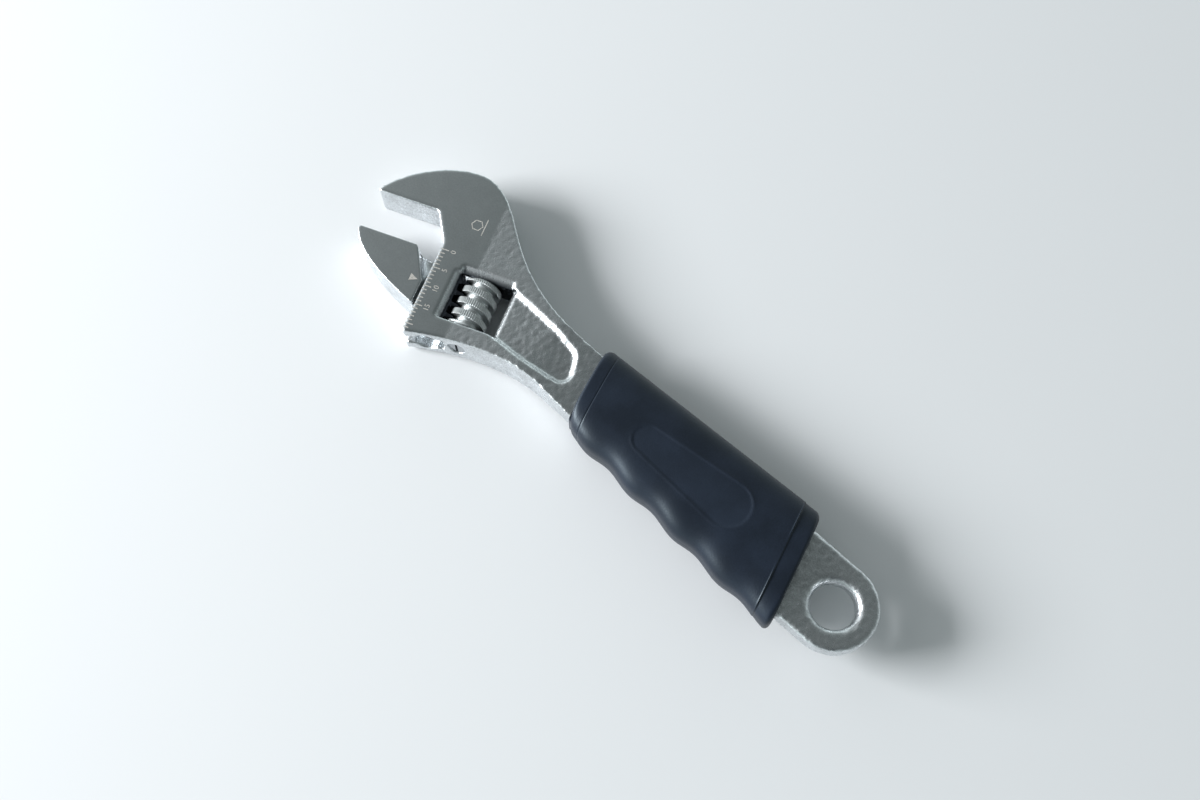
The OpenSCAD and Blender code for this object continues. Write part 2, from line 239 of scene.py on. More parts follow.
def evened(node, name, voxel, passes):
    """A CAD node's shape as one even mesh, with its edges softly rounded."""
    mesh = frame["nodes"][node].data.copy()
    mesh.name = name
    welded = bmesh.new()
    welded.from_mesh(mesh)
    bmesh.ops.remove_doubles(welded, verts=welded.verts, dist=0.001 * MM)
    welded.to_mesh(mesh)
    welded.free()
    piece = new_piece(name, mesh)
    even = piece.modifiers.new("Even mesh", "REMESH")
    even.mode = "VOXEL"
    even.voxel_size = voxel
    soften = piece.modifiers.new("Soft edges", "SMOOTH")
    soften.factor = 0.5
    soften.iterations = passes
    piece = settled(piece)
    piece.data.shade_smooth()
    return piece


def lumpy(places, size):
    """Smooth random heights from -1 to 1, the same on each run."""
    return np.array([noise.noise(Vector(place / size)) for place in places])


class Field:
    """A number in a node tree, so that a formula is written as one."""

    def __init__(self, tree, socket):
        self.tree = tree
        self.socket = socket

    def math(self, operation, *values, clamp=False):
        node = self.tree.nodes.new("ShaderNodeMath")
        node.operation = operation
        node.use_clamp = clamp
        for place, value in enumerate((self, *values)):
            if isinstance(value, Field):
                self.tree.links.new(value.socket, node.inputs[place])
            else:
                node.inputs[place].default_value = value
        return Field(self.tree, node.outputs[0])

    def __add__(self, other):
        return self.math("ADD", other)

    def __sub__(self, other):
        return self.math("SUBTRACT", other)

    def __mul__(self, other):
        return self.math("MULTIPLY", other)

    def __truediv__(self, other):
        return self.math("DIVIDE", other)

    def clamped(self):
        return self.math("ADD", 0.0, clamp=True)

    def share(self, start, end):
        """0 up to start, and 1 from end on."""
        return ((self - start) / (end - start)).clamped()

    def towards(self, other, share):
        return self + share * (other - self)


def add_node(tree, kind, settings=None, **inputs):
    """A node with its settings and its inputs. An underscore in an input's name stands for a space."""
    node = tree.nodes.new(kind)
    for name, value in (settings or {}).items():
        setattr(node, name, value)
    for name, value in inputs.items():
        socket = node.inputs[name.replace("_", " ")]
        if isinstance(value, Field):
            value = value.socket
        if isinstance(value, bpy.types.NodeSocket):
            tree.links.new(value, socket)
        else:
            socket.default_value = value
    return node


def geometry_tree(name, inputs):
    """An empty geometry tree with named inputs, and a dictionary of them as fields."""
    tree = bpy.data.node_groups.new(name, "GeometryNodeTree")
    tree.interface.new_socket("Geometry", in_out="OUTPUT", socket_type="NodeSocketGeometry")
    group = tree.nodes.new("NodeGroupInput")
    fields = {}
    for label, kind in inputs.items():
        tree.interface.new_socket(label, in_out="INPUT", socket_type=kind)
        fields[label] = Field(tree, group.outputs[label])
    return tree, fields


def close_tree(tree, geometry, material):
    """Ends the tree in Realize Instances and Set Material."""
    real = add_node(tree, "GeometryNodeRealizeInstances", Geometry=geometry)
    finish = add_node(tree, "GeometryNodeSetMaterial", Geometry=real.outputs[0], Material=material)
    output = tree.nodes.new("NodeGroupOutput")
    tree.links.new(finish.outputs[0], output.inputs[0])


def grown(name, tree, values):
    """A new piece from a geometry tree and the values of its named inputs."""
    piece = new_piece(name, bpy.data.meshes.new(name))
    grow = piece.modifiers.new("Grow", "NODES")
    grow.node_group = tree
    sockets = {item.name: item.identifier for item in tree.interface.items_tree if item.in_out == "INPUT"}
    for label, value in values.items():
        grow[sockets[label]] = value
    return settled(piece)


# ---------- finishes ----------

def new_material(name):
    material = bpy.data.materials.new(name)
    material.use_nodes = True
    tree = material.node_tree
    return material, tree, tree.nodes["Principled BSDF"]


def object_noise(tree, scale, detail=2.0, stretch=(1, 1, 1), turn=0.0):
    """Noise on Object coordinates; scale is in lumps per metre."""
    place = add_node(tree, "ShaderNodeTexCoord")
    mapped = add_node(tree, "ShaderNodeMapping", Vector=place.outputs["Object"], Scale=stretch,
                      Rotation=(0, 0, turn))
    texture = add_node(tree, "ShaderNodeTexNoise", Vector=mapped.outputs[0], Scale=scale, Detail=detail)
    return Field(tree, texture.outputs["Factor"] if "Factor" in texture.outputs else texture.outputs[0])


def blend_colors(tree, share, first, second):
    node = add_node(tree, "ShaderNodeMix", {"data_type": "RGBA"})
    tree.links.new(share.socket, node.inputs[0])
    for place, value in ((6, first), (7, second)):
        if isinstance(value, bpy.types.NodeSocket):
            tree.links.new(value, node.inputs[place])
        else:
            node.inputs[place].default_value = (*value[:3], 1)
    return node.outputs[2]


def attribute_field(tree, name):
    node = add_node(tree, "ShaderNodeAttribute", {"attribute_name": name})
    return Field(tree, node.outputs["Fac"])


def bump(tree, shader, height, depth, strength=1.0):
    node = add_node(tree, "ShaderNodeBump", Strength=strength, Distance=depth, Height=height)
    tree.links.new(node.outputs[0], shader.inputs["Normal"])


def chrome_plate(head):
    """Satin chrome: mirror-like where the steel was ground, speckled where it was left as forged."""
    material, tree, shader = new_material("chrome_plate")
    ground = attribute_field(tree, "ground")
    speckle = object_noise(tree, 2600, 3)
    cloud = object_noise(tree, 240, 2)
    grain = object_noise(tree, 900, 2, (1, 9, 1), -JAWS.to_euler().z)
    plate = blend_colors(tree, ground, head.chrome, head.ground)
    mottle = (speckle * 0.6 + cloud * 0.4).share(0.38, 0.66)
    dull = blend_colors(tree, mottle.towards(mottle * 0.35, ground), plate,
                        tuple(channel * 0.62 for channel in head.chrome))
    # Painted shade, partly old oil, darkens the rack, the rail and the inside of the window
    oiled_and_shaded = blend_colors(tree, attribute_field(tree, "oil"), dull, head.oil)
    tree.links.new(oiled_and_shaded, shader.inputs["Base Color"])
    rough = (speckle * 0.28 + cloud * 0.12 + 0.11).towards(grain * 0.08 + 0.13, ground)
    tree.links.new(rough.socket, shader.inputs["Roughness"])
    bump(tree, shader, speckle.towards(grain * 0.12, ground), 0.05 * MM)
    shader.inputs["Metallic"].default_value = 1.0
    return material


def worm_chrome(head):
    """Bright chrome on the crests, with painted shade, partly old oil, in the roots."""
    material, tree, shader = new_material("worm_chrome")
    crest = attribute_field(tree, "crest")
    cloud = object_noise(tree, 700, 2)
    # The roots' dark colour is painted shade, partly old oil
    shaded_root_color, crest_color = (0.16, 0.17, 0.18), (0.82, 0.85, 0.85)
    shade = blend_colors(tree, crest.share(0.0, 0.7), shaded_root_color, crest_color)
    tree.links.new(shade, shader.inputs["Base Color"])
    rough = (cloud * 0.2 + 0.32).towards(cloud * 0.16 + 0.34, crest)
    tree.links.new(rough.socket, shader.inputs["Roughness"])
    bump(tree, shader, cloud, 0.01 * MM)
    shader.inputs["Metallic"].default_value = 1.0
    return material


def turned_steel():
    """Plain steel with fine marks round the pin and the spring."""
    material, tree, shader = new_material("turned_steel")
    grain = object_noise(tree, 1800, 3, (6, 1, 1), -JAWS.to_euler().z)
    shade = blend_colors(tree, grain, (0.36, 0.38, 0.40), (0.52, 0.54, 0.56))
    tree.links.new(shade, shader.inputs["Base Color"])
    tree.links.new((grain * 0.2 + 0.25).socket, shader.inputs["Roughness"])
    bump(tree, shader, grain, 0.008 * MM)
    shader.inputs["Metallic"].default_value = 1.0
    return material


def moulded_rubber(grip):
    """Matte blue-black rubber with a fine pebble, a little dusty in places."""
    material, tree, shader = new_material("moulded_rubber")
    pebble = object_noise(tree, 3400, 2)
    dust = object_noise(tree, 130, 4)
    dusty = tuple(channel * 1.8 for channel in grip.rubber)
    pad = attribute_field(tree, "pad")
    worn = (dust * 0.7 + pebble * 0.3).share(0.40, 0.72) + pad * 0.4
    shade = blend_colors(tree, worn.clamped(), grip.rubber, dusty)
    tree.links.new(shade, shader.inputs["Base Color"])
    tree.links.new((dust * 0.16 + pebble * 0.08 + pad * 0.05 + 0.32).socket, shader.inputs["Roughness"])
    bump(tree, shader, pebble, 0.03 * MM, 0.8)
    shader.inputs["Specular IOR Level"].default_value = 0.42
    shader.inputs["Specular Tint"].default_value = (0.78, 0.92, 1.0, 1)
    shader.inputs["Sheen Weight"].default_value = 0.05
    shader.inputs["Sheen Roughness"].default_value = 0.45
    return material


def etched_marks(scale):
    """Pale matte marks that a laser leaves in the plate."""
    material, tree, shader = new_material("etched_marks")
    grit = object_noise(tree, 5200, 2)
    dark = tuple(channel * 0.45 for channel in scale.etched)
    shade = blend_colors(tree, grit.share(0.35, 0.6), dark, scale.etched)
    tree.links.new(shade, shader.inputs["Base Color"])
    tree.links.new((grit * 0.2 + 0.5).socket, shader.inputs["Roughness"])
    bump(tree, shader, grit, 0.006 * MM)
    shader.inputs["Metallic"].default_value = 0.35
    return material


# ---------- head, handle and moving jaw ----------

def mark_ground(mesh, ground_u):
    """Stores where the flats are ground, and returns that share for each vertex."""
    places = jaw_coordinates(positions(mesh))
    facing = np.abs(normals(mesh)[:, 2])
    edge = 0.35 * MM
    on_face = smoothstep(0.80, 0.97, facing) * (np.abs(places[:, 2]) > FACE_Z - 0.12 * MM)
    ground = on_face * smoothstep(ground_u - edge, ground_u + edge, places[:, 0])
    set_attribute(mesh, "ground", ground)
    # Painted shade, partly old oil: the rack, the rail and the depths of the window are darkened, more so further
    # in; limits in millimetres
    u, w, z = places.T / MM
    across = smoothstep(-4.0, -6.4, u) * smoothstep(-19.9, -19.2, u)
    along = smoothstep(10.7, 12.2, w) * smoothstep(26.4, 25.4, w)
    deep = smoothstep(4.2, 2.9, np.abs(z))
    set_attribute(mesh, "oil", across * along * deep)
    return ground


def forge(mesh, ground, head):
    """Low lumps wherever the surface isn't ground."""
    places = positions(mesh)
    height = lumpy(places, head.forged_lump) + 0.5 * lumpy(places, head.forged_lump * 0.4)
    u, w, z = jaw_coordinates(places).T / MM
    # The window's walls are calmer; limits in millimetres
    mouth = smoothstep(-21, -20, u) * smoothstep(-4, -5, u) * smoothstep(9.5, 10.5, w)
    mouth *= smoothstep(26.5, 25.5, w)
    # Faces that the moving parts run along are machined smooth
    running = smoothstep(-21, -20, u) * smoothstep(-1.0, -0.4, w) * smoothstep(30.4, 29.8, w)
    running *= smoothstep(FACE_Z / MM, FACE_Z / MM - 0.15, np.abs(z))
    height *= (1 - ground) * (1 - 0.75 * mouth) * (1 - running)
    raised = places + normals(mesh) * (height * head.forged_relief)[:, None]
    raised[:, 2] = np.clip(raised[:, 2], -FACE_Z, FACE_Z)
    set_positions(mesh, raised)


class WRENCH_OT_body(bpy.types.Operator):
    """Make the forged body: handle, neck, head and fixed jaw"""
    bl_idname = "wrench.body"
    bl_label = "Body"

    def execute(self, context):
        head = context.scene.wrench_head
        piece = evened("body", "forged_body", head.body_voxel, 3)
        forge(piece.data, mark_ground(piece.data, head.ground_u), head)
        give(piece, chrome_plate(head))
        attach(piece, "handle", "chrome", "body")
        return {"FINISHED"}


class WRENCH_OT_jaw(bpy.types.Operator):
    """Make the moving jaw with its rail and rack"""
    bl_idname = "wrench.jaw"
    bl_label = "Moving jaw"

    def execute(self, context):
        head = context.scene.wrench_head
        piece = evened("movable_jaw", "sliding_jaw", head.jaw_voxel, 3)
        mark_ground(piece.data, head.ground_u)
        set_positions(piece.data, positions(piece.data) - normals(piece.data) * head.jaw_play)
        give(piece, bpy.data.materials["chrome_plate"])
        attach(piece, "jaw", "chrome", "movable_jaw")
        return {"FINISHED"}


# ---------- worm, pin and spring ----------

WORM_INPUTS = {
    "Radius": "NodeSocketFloat", "Root": "NodeSocketFloat", "Bore": "NodeSocketFloat",
    "Length": "NodeSocketFloat", "Lead": "NodeSocketFloat", "Ridge": "NodeSocketFloat",
    "Crest": "NodeSocketFloat", "Base": "NodeSocketFloat", "Bevel": "NodeSocketFloat",
    "Serration": "NodeSocketFloat", "Serrations": "NodeSocketFloat", "Material": "NodeSocketMaterial",
}


def worm_tree():
    """A grid bent round into the worm: outside, end, bore and other end, with a left-handed ridge.

    The grid's Y is how far along that section a row lies, and its X is the turn round the axis.
    """
    tree, size = geometry_tree("worm_ridges", WORM_INPUTS)
    outside_rows, end_rows, bore_rows = 240, 4, 2
    rows = outside_rows + 2 * end_rows + bore_rows
    columns = 384
    grid = add_node(tree, "GeometryNodeMeshGrid", Size_X=1.0, Size_Y=1.0, Vertices_X=columns + 1,
                    Vertices_Y=rows + 1)
    position = add_node(tree, "GeometryNodeInputPosition")
    place = add_node(tree, "ShaderNodeSeparateXYZ", Vector=position.outputs[0])
    turn = Field(tree, place.outputs["X"]) + 0.5
    row = (Field(tree, place.outputs["Y"]) + 0.5) * rows
    # How far up the outside, through the end, down the bore and out through the other end
    up = row.share(0, outside_rows)
    end = row.share(outside_rows, outside_rows + end_rows)
    down = row.share(outside_rows + end_rows, rows - end_rows)
    other_end = row.share(rows - end_rows, rows)
    height = size["Length"] * up
    # Distance to the middle of the nearest ridge
    phase = (height - size["Ridge"]) / size["Lead"] + turn
    from_ridge = (phase + 0.5).math("FRACT").math("SUBTRACT", 0.5).math("ABSOLUTE") * size["Lead"]
    flank = ((size["Base"] / 2 - from_ridge) / ((size["Base"] - size["Crest"]) / 2)).clamped()
    crest = flank * flank * (flank * -2 + 3)
    tooth = (turn * size["Serrations"] * math.tau).math("COSINE") * 0.5 + 0.5
    ridged = size["Root"].towards(size["Radius"] - tooth * size["Serration"], crest)
    bevelled = size["Radius"] - size["Bevel"]
    low_limit = bevelled + height
    high_limit = bevelled + size["Length"] - height
    outside = ridged.math("MINIMUM", low_limit).math("MINIMUM", high_limit)
    radius = outside.towards(size["Bore"], end)
    # The way back ends on the first row's own radius
    first_phase = (turn - size["Ridge"] / size["Lead"] + 0.5).math("FRACT").math("SUBTRACT", 0.5)
    first_flank = ((size["Base"] / 2 - first_phase.math("ABSOLUTE") * size["Lead"])
                   / ((size["Base"] - size["Crest"]) / 2)).clamped()
    first_crest = first_flank * first_flank * (first_flank * -2 + 3)
    first = size["Root"].towards(size["Radius"] - tooth * size["Serration"], first_crest)
    radius = radius.towards(first.math("MINIMUM", bevelled), other_end)
    height = height - size["Length"] * down
    angle = turn * math.tau
    bent = add_node(tree, "ShaderNodeCombineXYZ", X=angle.math("COSINE") * radius,
                    Y=angle.math("SINE") * radius, Z=height)
    moved = add_node(tree, "GeometryNodeSetPosition", Geometry=grid.outputs[0], Position=bent.outputs[0])
    # The crest share falls with the radius, so the roots and the inner parts of the ends get painted shade
    stored = add_node(tree, "GeometryNodeStoreNamedAttribute", {"data_type": "FLOAT", "domain": "POINT"},
                      Geometry=moved.outputs[0], Name="crest", Value=crest * (radius / size["Radius"]))
    merged = add_node(tree, "GeometryNodeMergeByDistance", Geometry=stored.outputs[0], Distance=0.0005 * MM)
    close_tree(tree, merged.outputs[0], size["Material"].socket)
    return tree


class WRENCH_OT_worm(bpy.types.Operator):
    """Make the worm with its serrated ridge"""
    bl_idname = "wrench.worm"
    bl_label = "Worm"

    def execute(self, context):
        worm = context.scene.wrench_worm
        axis_centre = Vector(JOINTS["worm_turn"]["pos_m"])
        start = axis_centre - ALONG * worm.length / 2
        start_w = (start - JAW_ROOT).dot(ALONG)
        piece = grown("serrated_worm", worm_tree(), {
            "Radius": worm.radius, "Root": worm.root, "Bore": worm.bore, "Length": worm.length,
            "Lead": worm.lead, "Ridge": worm.ridge_w - start_w, "Crest": worm.crest, "Base": worm.base,
            "Bevel": worm.end_bevel, "Serration": worm.serration, "Serrations": float(worm.serrations),
            "Material": worm_chrome(context.scene.wrench_head),
        })
        # The worm's own X faces the jaws, and its Y faces down, so that its Z runs along the slide
        stand = Matrix((OUT, Vector((0, 0, -1)), ALONG)).transposed().to_4x4()
        piece.data.transform(Matrix.Translation(start) @ stand)
        face_outwards(piece.data)
        piece.data.shade_smooth()
        attach(piece, "worm", "chrome", "worm")
        return {"FINISHED"}


def face_outwards(mesh):
    shell = bmesh.new()
    shell.from_mesh(mesh)
    bmesh.ops.recalc_face_normals(shell, faces=shell.faces)
    shell.to_mesh(mesh)
    shell.free()


class WRENCH_OT_pin(bpy.types.Operator):
    """Give the worm's pin and spring their steel"""
    bl_idname = "wrench.pin"
    bl_label = "Pin and spring"

    def execute(self, context):
        steel = turned_steel()
        for node in ("worm_pin", "worm_spring"):
            give(frame["nodes"][node], steel)
        return {"FINISHED"}


# ---------- grip ----------

SLEEVE_SLANT = 0.285
SLEEVE_SQUARENESS = 0.62
TUNNEL_SQUARENESS = 0.12
TUNNEL_X = (14 * MM, 78 * MM)           # the handle's sides draw together between these
TUNNEL_BACK = (-9.6 * MM, -7.65 * MM)
TUNNEL_FRONT = (9.6 * MM, 7.0 * MM)
TUNNEL_THICKENS = (64.7 * MM, 84 * MM)  # its thickness grows from the tail's to the head's here
TUNNEL_HALF = (2.4 * MM, 4.25 * MM)
AROUND = 232
ALONG_STEPS = 190


def even_angles(half_width, half_thickness, count):
    """Angles that give the sleeve's section points at even distances."""
    fine = np.linspace(0, math.tau, 6001)
    y, z = section(fine, half_width, half_thickness, SLEEVE_SQUARENESS)
    travelled = np.concatenate([[0], np.cumsum(np.hypot(np.diff(y), np.diff(z)))])
    return np.interp(np.linspace(0, travelled[-1], count + 1)[:-1], travelled, fine)


def section(angles, half_width, half_thickness, squareness):
    """Rounded rectangle about the origin."""
    across = half_width * np.sign(np.cos(angles)) * np.abs(np.cos(angles)) ** squareness
    up = half_thickness * np.sign(np.sin(angles)) * np.abs(np.sin(angles)) ** squareness
    return across, up


def groove(distance, width):
    return np.exp(-(distance / width) ** 2)


def thumb_pad(x, y):
    """Height of the thumb pad's raised outline, and of the pad inside it, from 0 to 1 each."""
    rear, front = np.array([29.4, -0.4]) * MM, np.array([51.3, 0.6]) * MM
    rear_r, front_r = 5.3 * MM, 3.4 * MM
    axis = front - rear
    share = np.clip(((x - rear[0]) * axis[0] + (y - rear[1]) * axis[1]) / (axis @ axis), 0, 1)
    away = np.hypot(x - rear[0] - share * axis[0], y - rear[1] - share * axis[1])
    outside = away - mix(rear_r, front_r, share)
    return groove(outside, 0.32 * MM), smoothstep(0.3 * MM, -0.5 * MM, outside)


def sleeve_skin(grip, x, inset, angles):
    """Ring of the sleeve's outside where its middle line is at x."""
    share = (x - grip.rear) / (grip.front - grip.rear)
    back = mix(grip.back_rear, grip.back_front, share)
    crest = mix(grip.crest_rear, grip.crest_front, share)
    crest_x = x - SLEEVE_SLANT * crest
    wave = (1 - math.cos(math.tau * (crest_x - grip.first_crest) / grip.finger_pitch)) / 2
    front = crest - grip.finger_depth * wave
    collar = 1 - smoothstep(-0.1 * MM, 0.1 * MM, x - grip.rear - grip.seam_rear)
    seams = groove(x - grip.rear - grip.seam_rear, 0.16 * MM)
    faint_seam = groove(grip.front - grip.seam_front - x, 0.14 * MM)
    inset = inset + 0.16 * MM * collar - 0.17 * MM * seams + 0.07 * MM * faint_seam
    from_end = min(x - grip.rear, grip.front - x, grip.corner)
    corner = grip.corner - math.sqrt(grip.corner ** 2 - (grip.corner - from_end) ** 2)
    y, z = section(angles, (front - back) / 2 - max(inset, corner), grip.thickness / 2 - inset,
                   SLEEVE_SQUARENESS)
    # Parting line of the mould, round the sleeve's two sides
    y = y + np.sign(y) * 0.05 * MM * groove(z, 0.10 * MM)
    y = y + (front + back) / 2
    outline, pad = thumb_pad(x - SLEEVE_SLANT * y, y)
    on_face = smoothstep(0.86, 0.96, np.abs(z) / (grip.thickness / 2))
    z = z + np.sign(z) * on_face * (0.10 * MM * outline - 0.10 * MM * pad)
    z = np.clip(z, -grip.thickness / 2, grip.thickness / 2)
    return np.stack([x - SLEEVE_SLANT * y, y, z], axis=1)


def tunnel_ring(x, gap, angles):
    """Ring of the opening that the handle passes through, wider than the handle by gap."""
    taper = np.clip((x - TUNNEL_X[0]) / (TUNNEL_X[1] - TUNNEL_X[0]), 0, 1)
    back = mix(*TUNNEL_BACK, taper) - gap
    front = mix(*TUNNEL_FRONT, taper) + gap
    y, z = section(angles, (front - back) / 2, 1, TUNNEL_SQUARENESS)
    y = y + (front + back) / 2
    place_x = x - SLEEVE_SLANT * y
    start, end = TUNNEL_THICKENS
    half = mix(*TUNNEL_HALF, np.clip((place_x - start) / (end - start), 0, 1)) + gap
    return np.stack([place_x, y, z * half], axis=1)


class WRENCH_OT_grip(bpy.types.Operator):
    """Make the rubber sleeve with its finger hollows, seams and thumb pads"""
    bl_idname = "wrench.grip"
    bl_label = "Grip"

    def execute(self, context):
        grip = context.scene.wrench_grip
        angles = even_angles((grip.crest_rear - grip.back_rear) / 2, grip.thickness / 2, AROUND)
        quarter = np.linspace(0, math.pi / 2, 7)
        reach = grip.rounding * (1 - np.cos(quarter))
        insets = grip.rounding * (1 - np.sin(quarter))
        rear_rings = [(grip.rear + e, i) for e, i in zip(reach, insets)]
        front_rings = [(grip.front - e, i) for e, i in zip(reach, insets)][::-1]
        first, last = rear_rings[-1][0], front_rings[0][0]
        # Extra rings where the seams need a finer mesh
        close_by = np.linspace(-0.4 * MM, 0.4 * MM, 17)
        middle = np.sort(np.concatenate([
            np.linspace(first, last, ALONG_STEPS + 1)[1:-1],
            grip.rear + grip.seam_rear + close_by, grip.front - grip.seam_front + close_by]))
        rings = [sleeve_skin(grip, x, inset, angles) for x, inset in rear_rings]
        rings += [sleeve_skin(grip, x, 0.0, angles) for x in middle]
        rings += [sleeve_skin(grip, x, inset, angles) for x, inset in front_rings]
        gap, depth, snug = 0.75 * MM, 1.3 * MM, 0.02 * MM
        rings += [tunnel_ring(grip.front, gap, angles), tunnel_ring(grip.front - depth, gap, angles)]
        rings += [tunnel_ring(grip.front - depth, snug, angles), tunnel_ring(grip.rear, snug, angles)]
        count = len(rings)
        faces = [
            (i * AROUND + k, i * AROUND + (k + 1) % AROUND,
             (i + 1) % count * AROUND + (k + 1) % AROUND, (i + 1) % count * AROUND + k)
            for i in range(count) for k in range(AROUND)
        ]
        mesh = bpy.data.meshes.new("rubber_sleeve")
        mesh.from_pydata(np.concatenate(rings).tolist(), [], faces)
        face_outwards(mesh)
        places = positions(mesh)
        on_face = smoothstep(0.8, 0.9, np.abs(places[:, 2]) / (grip.thickness / 2))
        set_attribute(mesh, "pad", thumb_pad(places[:, 0], places[:, 1])[1] * on_face)
        mesh.shade_smooth()
        mesh.set_sharp_from_angle(angle=math.radians(50))
        piece = new_piece("rubber_sleeve", mesh)
        give(piece, moulded_rubber(grip))
        attach(piece, "handle", "rubber", "grip")
        return {"FINISHED"}


# ---------- etched scale, pointer and mark ----------

MARK_HEIGHT = 0.012 * MM
# Places on the head's face, as u and w in the jaws' frame
POINTER = ((1.5 * MM, 18.3 * MM), (3.4 * MM, 17.4 * MM), (3.4 * MM, 19.2 * MM))
HEXAGON_CENTRE = (-5.6 * MM, 0.6 * MM)
HEXAGON_OUTER, HEXAGON_INNER = 1.5 * MM, 1.25 * MM
BAR_U, BAR_REACH = -7.6 * MM, 2.2 * MM


def scale_tree():
    """A row of marks along the guide edge, every fifth one longer."""
    floats = ("Pitch", "Short", "Long", "Line", "Height")
    tree, size = geometry_tree("scale_marks", {
        "Marks": "NodeSocketInt", **{label: "NodeSocketFloat" for label in floats},
        "Material": "NodeSocketMaterial"})
    step = add_node(tree, "ShaderNodeCombineXYZ", Y=size["Pitch"])
    row = add_node(tree, "GeometryNodeMeshLine", Count=size["Marks"], Offset=step.outputs[0])
    number = Field(tree, add_node(tree, "GeometryNodeInputIndex").outputs[0])
    fifth = (number.math("MODULO", 5.0)).math("LESS_THAN", 0.5)
    reach = size["Short"].towards(size["Long"], fifth)
    shape = add_node(tree, "ShaderNodeCombineXYZ", X=reach, Y=size["Line"], Z=size["Height"])
    back = add_node(tree, "ShaderNodeCombineXYZ", X=reach * -0.5)
    bar = add_node(tree, "GeometryNodeMeshCube")
    shifted = add_node(tree, "GeometryNodeSetPosition", Geometry=row.outputs[0], Offset=back.outputs[0])
    marks = add_node(tree, "GeometryNodeInstanceOnPoints", Points=shifted.outputs[0],
                     Instance=bar.outputs[0], Scale=shape.outputs[0])
    close_tree(tree, marks.outputs[0], size["Material"].socket)
    return tree


def flat_mark(name, outline, hole=None):
    """A thin plate in the jaws' frame; outline and hole are lists of u, w points of equal length."""
    mesh = bpy.data.meshes.new(name)
    shell = bmesh.new()
    low, high = FACE_Z - MARK_HEIGHT, FACE_Z + MARK_HEIGHT
    count = len(outline)
    loops = [[shell.verts.new(JAWS @ Vector((u, w, z))) for u, w in points]
             for z in (low, high) for points in ([outline] if hole is None else [outline, hole])]
    if hole is None:
        shell.faces.new(loops[0])
        shell.faces.new(loops[1])
        pairs = ((loops[0], loops[1]),)
    else:
        pairs = ((loops[0], loops[2]), (loops[1], loops[3]), (loops[0], loops[1]), (loops[2], loops[3]))
    for first, second in pairs:
        for k in range(count):
            n = (k + 1) % count
            shell.faces.new((first[k], first[n], second[n], second[k]))
    bmesh.ops.recalc_face_normals(shell, faces=shell.faces)
    shell.to_mesh(mesh)
    shell.free()
    return new_piece(name, mesh)


def ring_points(centre, radius, corners, turn=0.0):
    return [(centre[0] + radius * math.cos(turn + math.tau * k / corners),
             centre[1] + radius * math.sin(turn + math.tau * k / corners)) for k in range(corners)]


def digits(text, u, w, height):
    """A number that reads along the slide, as a thin mesh."""
    curve = bpy.data.curves.new("number_" + text, "FONT")
    curve.body = text
    curve.size = height
    curve.align_x = "CENTER"
    curve.align_y = "CENTER"
    curve.extrude = MARK_HEIGHT
    piece = settled(new_piece("number_" + text, curve))
    # The digits stand on a line along the slide, with their tops towards the guide edge
    stand = Matrix((-ALONG, OUT, Vector((0, 0, 1)))).transposed().to_4x4()
    piece.data.transform(Matrix.Translation(JAWS @ Vector((u, w, FACE_Z))) @ stand)
    return piece


class WRENCH_OT_scale(bpy.types.Operator):
    """Etch the scale, its numbers, the pointer and a plain hexagon mark"""
    bl_idname = "wrench.scale"
    bl_label = "Scale and marks"

    def execute(self, context):
        scale = context.scene.wrench_scale
        etched = etched_marks(scale)
        marks = grown("scale_marks", scale_tree(), {
            "Marks": scale.marks, "Pitch": scale.pitch, "Short": scale.short_mark, "Long": scale.long_mark,
            "Line": scale.line, "Height": 2 * MARK_HEIGHT, "Material": etched})
        marks.data.transform(JAWS @ Matrix.Translation((-scale.edge_gap, scale.first_w, FACE_Z)))
        attach(marks, "handle", "chrome")
        for number in range(0, scale.marks - 2, 5):
            piece = digits(str(number), scale.digit_u, scale.first_w + number * scale.pitch, scale.digit)
            give(piece, etched)
            attach(piece, "handle", "chrome")
        pointer = flat_mark("pointer", POINTER)
        give(pointer, etched)
        attach(pointer, "jaw", "chrome")
        mark = flat_mark("hexagon_mark", ring_points(HEXAGON_CENTRE, HEXAGON_OUTER, 6),
                         ring_points(HEXAGON_CENTRE, HEXAGON_INNER, 6))
        bar_low, bar_high = HEXAGON_CENTRE[1] - BAR_REACH, HEXAGON_CENTRE[1] + BAR_REACH
        bar = flat_mark("mark_bar", [(BAR_U, bar_low), (BAR_U + scale.line, bar_low),
                                     (BAR_U + scale.line, bar_high), (BAR_U, bar_high)])
        for piece in (mark, bar):
            give(piece, etched)
            attach(piece, "handle", "chrome")
        return {"FINISHED"}


# ---------- stage ----------

WALL_TURN, WALL_ELEVATION = math.radians(25), math.radians(16)  # middle of the bright wall
PERSON = (math.radians(128), math.radians(36))                  # azimuth and elevation
PERSON_COLOR = (0.03, 0.035, 0.045)
WINDOW_DISTANCE = 1.25
WINDOW_SIZE = (0.66, 0.42)
WINDOW_TINT = (0.97, 0.985, 1.0)
WRENCH_MIDDLE = Vector((75 * MM, 0, 0))


def facing(place, target):
    return (target - place).to_track_quat("-Z", "Y").to_matrix().to_4x4()


def softbox(name, direction, distance, size, power, tint):
    light = bpy.data.lights.new(name, "AREA")
    light.shape = "RECTANGLE"
    light.size, light.size_y = size
    light.energy = power
    light.color = tint
    lamp = bpy.data.objects.new(name, light)
    bpy.context.scene.collection.objects.link(lamp)
    place = WRENCH_MIDDLE + direction * distance
    lamp.matrix_world = Matrix.Translation(place) @ facing(place, WRENCH_MIDDLE)


def sky_direction(azimuth, elevation):
    return Vector((math.cos(azimuth) * math.cos(elevation), math.sin(azimuth) * math.cos(elevation),
                   math.sin(elevation)))


